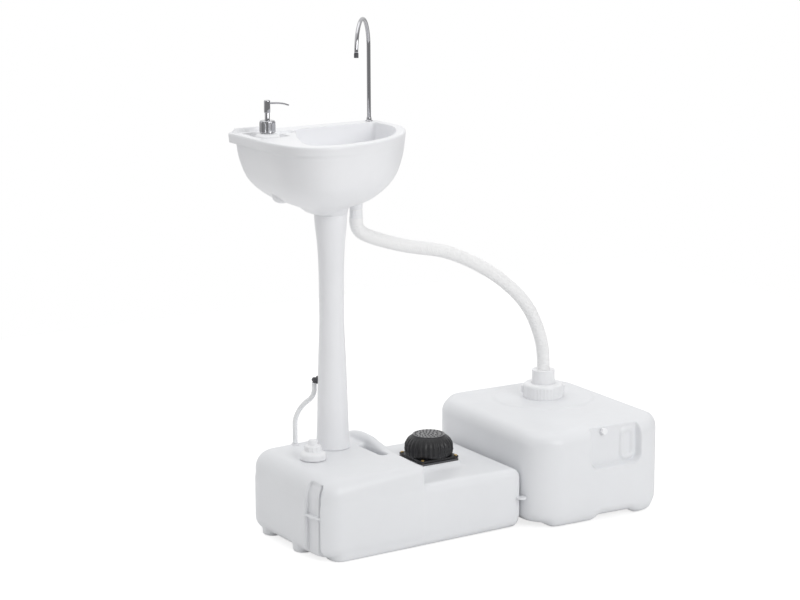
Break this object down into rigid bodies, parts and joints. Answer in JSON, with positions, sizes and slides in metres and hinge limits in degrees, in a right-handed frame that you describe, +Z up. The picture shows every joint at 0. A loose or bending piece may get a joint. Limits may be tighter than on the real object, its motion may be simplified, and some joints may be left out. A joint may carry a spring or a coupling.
{
  "type": "portable camp wash stand with foot pump",
  "caption": "Portable hand-wash stand: fresh-water base tank with foot pump, hollow column, basin with soap pump and gooseneck tap, hose to a waste-water tank.",
  "frame": {"origin": "centre of the bounding box at floor level, under the stand", "axes": "+Z up; +X from the base tank towards the waste tank; -Y is the front, where the user stands"},
  "size_m": [0.8277, 0.4198, 1.03],
  "materials": {
    "tank_plastic": "blow-moulded white, satin with a fine grain",
    "cap_plastic": "injection-moulded white, smooth satin",
    "pump_rubber": "black rubber, satin",
    "seal_rubber": "dark grey seal rubber",
    "grey_plastic": "dark grey moulded plastic",
    "clear_tube": "milky translucent flexible tube",
    "hose_plastic": "white corrugated flexible plastic",
    "chrome": "polished chrome plating",
    "steel": "stainless steel",
    "brass": "brass-plated screw"
  },
  "bodies": {
    "stand": {"base_tank": "tank_plastic", "tube_gland": "cap_plastic", "pump_gasket": "seal_rubber", "pump_housing": "grey_plastic", "inlet_valve": "seal_rubber", "outlet_valve": "steel", "pump_spring": "steel", "pump_dome": "pump_rubber", "pump_plate": "pump_rubber", "pump_screws": "brass", "suction_tube": "clear_tube", "suction_filter": "grey_plastic", "delivery_tube": "clear_tube", "column": "tank_plastic", "column_fitting": "grey_plastic", "water_tube": "clear_tube", "riser_tube": "clear_tube", "basin": "tank_plastic", "tap_ferrule": "chrome", "tap_nut": "chrome", "tube_coupling": "grey_plastic", "drain_strainer": "steel", "drain_washer": "hose_plastic", "drain_nut": "cap_plastic", "hose_cuff": "cap_plastic", "drain_hose": "hose_plastic", "hose_connector": "cap_plastic", "waste_gasket": "seal_rubber", "waste_tank": "tank_plastic"},
    "tread": {"pump_tread": "pump_rubber"},
    "fill_seal": {"fill_gasket": "seal_rubber"},
    "filler_cap": {"fill_cap": "cap_plastic"},
    "bottle": {"soap_bottle": "cap_plastic"},
    "dispenser": {"soap_barrel": "cap_plastic", "soap_ball": "steel", "soap_dip_tube": "clear_tube", "soap_spring": "steel"},
    "collar": {"soap_collar": "chrome"},
    "plunger": {"soap_stem": "chrome"},
    "nozzle_head": {"soap_head": "chrome"},
    "gooseneck": {"tap_spout": "chrome", "tap_nozzle": "grey_plastic"},
    "waste_ring": {"waste_cap": "cap_plastic"},
    "vent": {"vent_plug": "cap_plastic"}
  },
  "joints": [
    {"name": "pump_press", "type": "slide", "parent": "stand", "child": "tread", "axis": [0, 0, -1], "range_m": [0, 0.022], "stiffness_N_per_m": 1500, "springref_m": -0.004, "deforming": ["pump_dome", "pump_spring"]},
    {"name": "fill_cap_lift", "type": "slide", "parent": "stand", "child": "fill_seal", "axis": [0, 0, 1], "range_m": [0, 0.006]},
    {"name": "fill_cap_turn", "type": "hinge", "parent": "fill_seal", "child": "filler_cap", "pos_m": [-0.32207, 0.007, 0.165], "axis": [0, 0, 1], "range_deg": [0, 541]},
    {"name": "soap_bottle_lift", "type": "slide", "parent": "stand", "child": "bottle", "axis": [0, 0, 1], "range_m": [0, 0.07]},
    {"name": "soap_pump_lift", "type": "slide", "parent": "bottle", "child": "dispenser", "axis": [0, 0, 1], "range_m": [0, 0.0045]},
    {"name": "soap_collar_turn", "type": "hinge", "parent": "dispenser", "child": "collar", "pos_m": [-0.36607, 0.095, 0.83], "axis": [0, 0, 1], "range_deg": [0, 541]},
    {"name": "soap_press", "type": "slide", "parent": "dispenser", "child": "plunger", "axis": [0, 0, -1], "range_m": [0, 0.014], "stiffness_N_per_m": 300, "springref_m": -0.01, "deforming": ["soap_spring"]},
    {"name": "soap_swivel", "type": "hinge", "parent": "plunger", "child": "nozzle_head", "pos_m": [-0.36607, 0.095, 0.87], "axis": [0, 0, 1], "continuous": true},
    {"name": "tap_swivel", "type": "hinge", "parent": "stand", "child": "gooseneck", "pos_m": [-0.09207, 0.163, 0.82], "axis": [0, 0, 1], "range_deg": [-150, 150]},
    {"name": "waste_cap_turn", "type": "hinge", "parent": "stand", "child": "waste_ring", "pos_m": [0.28022, 0.06511, 0.21], "axis": [0, 0, 1], "range_deg": [0, 60]},
    {"name": "vent_turn", "type": "hinge", "parent": "stand", "child": "vent", "pos_m": [0.24741, -0.19462, 0.188], "axis": [-0.0262, -0.9997, 0], "range_deg": [0, 90]}
  ],
  "couplings": [
    {"joint": "fill_cap_turn", "follows": "fill_cap_lift", "rad_per_m": 1570.8},
    {"joint": "soap_collar_turn", "follows": "soap_pump_lift", "rad_per_m": 2094.4}
  ]
}
